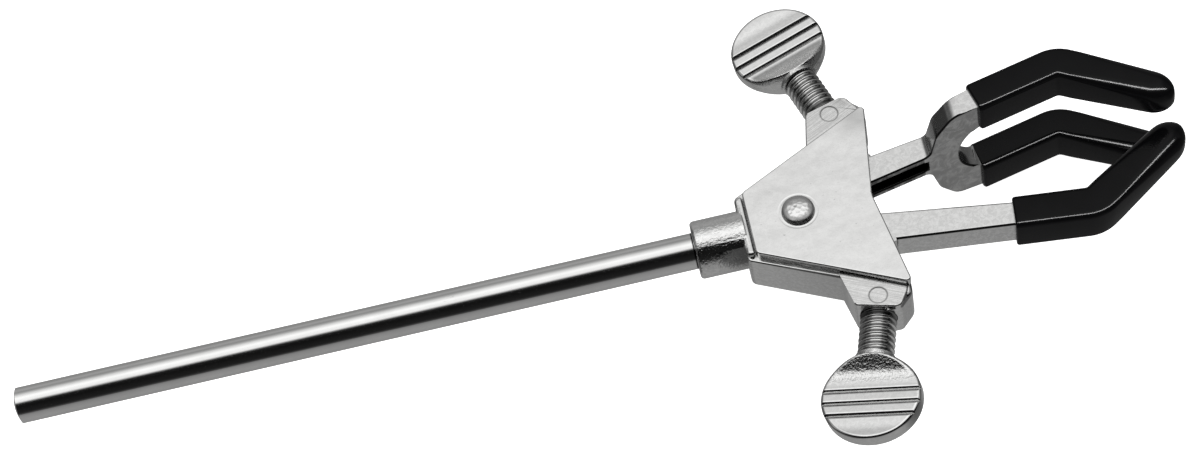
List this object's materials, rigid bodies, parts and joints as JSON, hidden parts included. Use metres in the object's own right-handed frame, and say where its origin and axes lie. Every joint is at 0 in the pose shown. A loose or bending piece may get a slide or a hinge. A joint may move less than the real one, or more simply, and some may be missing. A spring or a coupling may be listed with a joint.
{
  "type": "three-finger extension clamp",
  "caption": "Dual-adjust extension clamp with a support rod, two pivoting jaws with vinyl-coated bent fingers and a thumbscrew for each jaw.",
  "frame": {"origin": "on the support rod's axis, in the plane of the socket's mouth", "axes": "+X along the rod's axis from the rod towards the fingers, +Y towards the two-finger jaw, +Z out of the front cover"},
  "size_m": [0.2611, 0.1127, 0.0324],
  "materials": {
    "rod_steel": "polished plated steel bar",
    "plated_casting": "nickel-plated zinc casting, softly pitted",
    "plated_cover": "nickel-plated casting, satin front face",
    "rivet_steel": "hammered rivet head",
    "spring_steel": "drawn spring wire",
    "plated_jaw": "nickel-plated casting, bright",
    "black_vinyl": "dipped vinyl, semi-gloss",
    "stud_steel": "plated rolled thread",
    "plated_head": "nickel-plated casting, bright",
    "pad_brass": "turned brass"
  },
  "bodies": {
    "clamp_body": {"support_rod": "rod_steel", "body_casting": "plated_casting", "front_cover": "plated_cover", "pivot_rivet": "rivet_steel", "opening_spring": "spring_steel"},
    "fork_jaw": {"fork_jaw": "plated_jaw", "front_finger_sleeve": "black_vinyl", "rear_finger_sleeve": "black_vinyl"},
    "single_jaw": {"single_jaw": "plated_jaw", "single_finger_sleeve": "black_vinyl"},
    "upper_screw_end": {"upper_thrust_pad": "pad_brass"},
    "upper_thumbscrew": {"upper_screw_stud": "stud_steel", "upper_screw_head": "plated_head"},
    "lower_screw_end": {"lower_thrust_pad": "pad_brass"},
    "lower_thumbscrew": {"lower_screw_stud": "stud_steel", "lower_screw_head": "plated_head"}
  },
  "joints": [
    {"name": "upper_screw_travel", "type": "slide", "parent": "clamp_body", "child": "upper_screw_end", "axis": [-0.2924, 0.9563, 0], "range_m": [-0.00259, 0.00485]},
    {"name": "upper_thumbscrew_turn", "type": "hinge", "parent": "upper_screw_end", "child": "upper_thumbscrew", "pos_m": [0.0353, 0.02477, 0], "axis": [-0.2924, 0.9563, 0], "range_deg": [-666.6, 1249.8]},
    {"name": "fork_jaw_swing", "type": "hinge", "parent": "clamp_body", "child": "fork_jaw", "pos_m": [0.0235, 0, 0], "axis": [0, 0, 1], "range_deg": [-8.08, 15.15], "deforming": ["opening_spring"]},
    {"name": "lower_screw_travel", "type": "slide", "parent": "clamp_body", "child": "lower_screw_end", "axis": [-0.2924, -0.9563, 0], "range_m": [-0.00259, 0.00485]},
    {"name": "lower_thumbscrew_turn", "type": "hinge", "parent": "lower_screw_end", "child": "lower_thumbscrew", "pos_m": [0.0353, -0.02477, 0], "axis": [-0.2924, -0.9563, 0], "range_deg": [-666.6, 1249.8]},
    {"name": "single_jaw_swing", "type": "hinge", "parent": "clamp_body", "child": "single_jaw", "pos_m": [0.0235, 0, 0], "axis": [0, 0, -1], "range_deg": [-8.08, 15.15], "deforming": ["opening_spring"]}
  ],
  "couplings": [
    {"joint": "upper_thumbscrew_turn", "follows": "upper_screw_travel", "rad_per_m": 4453},
    {"joint": "fork_jaw_swing", "follows": "upper_screw_travel", "rad_per_m": 53.977},
    {"joint": "lower_thumbscrew_turn", "follows": "lower_screw_travel", "rad_per_m": 4453},
    {"joint": "single_jaw_swing", "follows": "lower_screw_travel", "rad_per_m": 53.977}
  ]
}
